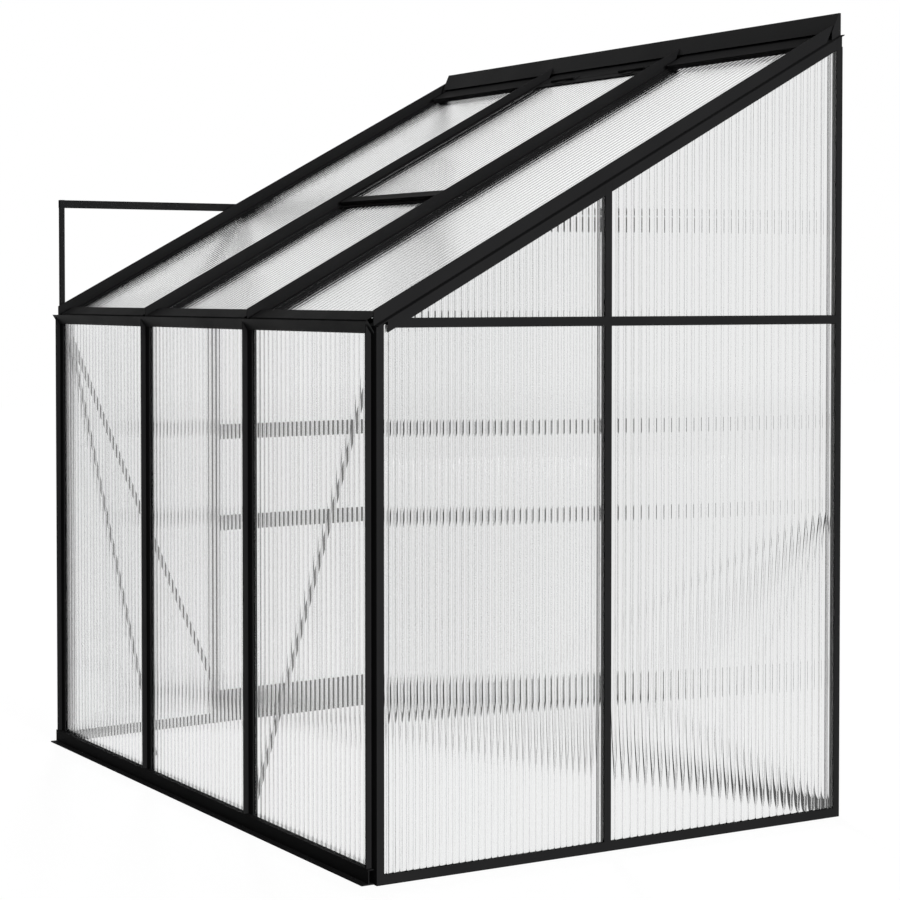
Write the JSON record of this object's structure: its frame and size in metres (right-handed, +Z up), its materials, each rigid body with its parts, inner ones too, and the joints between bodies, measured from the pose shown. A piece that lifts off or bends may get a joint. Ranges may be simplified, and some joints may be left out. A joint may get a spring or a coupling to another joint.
{
  "type": "lean-to greenhouse",
  "caption": "Lean-to greenhouse for a house wall: dark aluminium frame, fluted plastic sheets, gutter, sliding door at one end and a hinged roof vent.",
  "frame": {"origin": "on the ground, under the middle of the bounding box", "axes": "+Z up, +Y towards the house wall, +X along the front towards the gable without the door"},
  "size_m": [2.017, 1.362, 2.02],
  "materials": {
    "frame": "black powder coat, satin",
    "sheet": "clear fluted twin-wall sheet",
    "nylon": "moulded nylon",
    "steel": "zinc plated"
  },
  "bodies": {
    "frame": {"back_post_left": "frame", "back_post_right": "frame", "base_back_sill": "frame", "base_front_sill": "frame", "base_left_sill": "frame", "base_right_sill": "frame", "brace_screws": "steel", "corner_post_left": "frame", "corner_post_right": "frame", "door_bottom_track": "frame", "door_jamb_post": "frame", "door_lintel": "frame", "door_track": "frame", "door_track_post": "frame", "door_track_standoffs": "frame", "eave_gutter": "frame", "end_rafter_left": "frame", "end_rafter_right": "frame", "front_panel_left": "sheet", "front_panel_middle": "sheet", "front_panel_right": "sheet", "front_post_left": "frame", "front_post_right": "frame", "gable_eave_rails": "frame", "gable_post_right": "frame", "gable_sloped_rails": "frame", "left_panel_front": "sheet", "left_panel_over_door": "sheet", "left_panel_top_front": "sheet", "mid_rafter_left": "frame", "mid_rafter_right": "frame", "ridge_beam": "frame", "right_panel_back": "sheet", "right_panel_front": "sheet", "right_panel_top_back": "sheet", "right_panel_top_front": "sheet", "roof_eave_bars": "frame", "roof_panel_left": "sheet", "roof_panel_middle": "sheet", "roof_panel_right": "sheet", "roof_ridge_bars": "frame", "vent_crossbar": "frame", "vent_hinge_bar": "frame", "vent_hinge_leaves": "frame", "wind_braces": "frame"},
    "door": {"door_stiles": "frame", "door_bars": "frame", "door_panels": "sheet", "door_hangers": "frame", "door_handle": "frame", "door_glides": "nylon"},
    "front_roller": {"door_front_roller": "nylon"},
    "back_roller": {"door_back_roller": "nylon"},
    "vent": {"vent_top_rail": "frame", "vent_side_rails": "frame", "vent_bottom_rail": "frame", "vent_panel": "sheet"},
    "stay": {"vent_stay": "steel"}
  },
  "joints": [
    {"name": "door_slide", "type": "slide", "parent": "frame", "child": "door", "axis": [0, -1, 0], "range_m": [0, 0.58]},
    {"name": "front_roller_spin", "type": "hinge", "parent": "door", "child": "front_roller", "pos_m": [-0.9655, 0.03088, 1.58102], "axis": [1, 0, 0], "range_deg": [-5, 4760]},
    {"name": "back_roller_spin", "type": "hinge", "parent": "door", "child": "back_roller", "pos_m": [-0.9655, 0.601, 1.58102], "axis": [1, 0, 0], "range_deg": [-5, 4760]},
    {"name": "vent_hinge", "type": "hinge", "parent": "frame", "child": "vent", "pos_m": [0.0275, 0.60187, 1.9412], "axis": [-1, 0, 0], "range_deg": [0, 40]},
    {"name": "stay_swing", "type": "hinge", "parent": "vent", "child": "stay", "pos_m": [-0.0825, -0.04214, 1.57573], "axis": [0, -0.475, 0.88], "range_deg": [0, 90]}
  ],
  "couplings": [
    {"joint": "front_roller_spin", "follows": "door_slide", "rad_per_m": 142.86},
    {"joint": "back_roller_spin", "follows": "door_slide", "rad_per_m": 142.86}
  ]
}
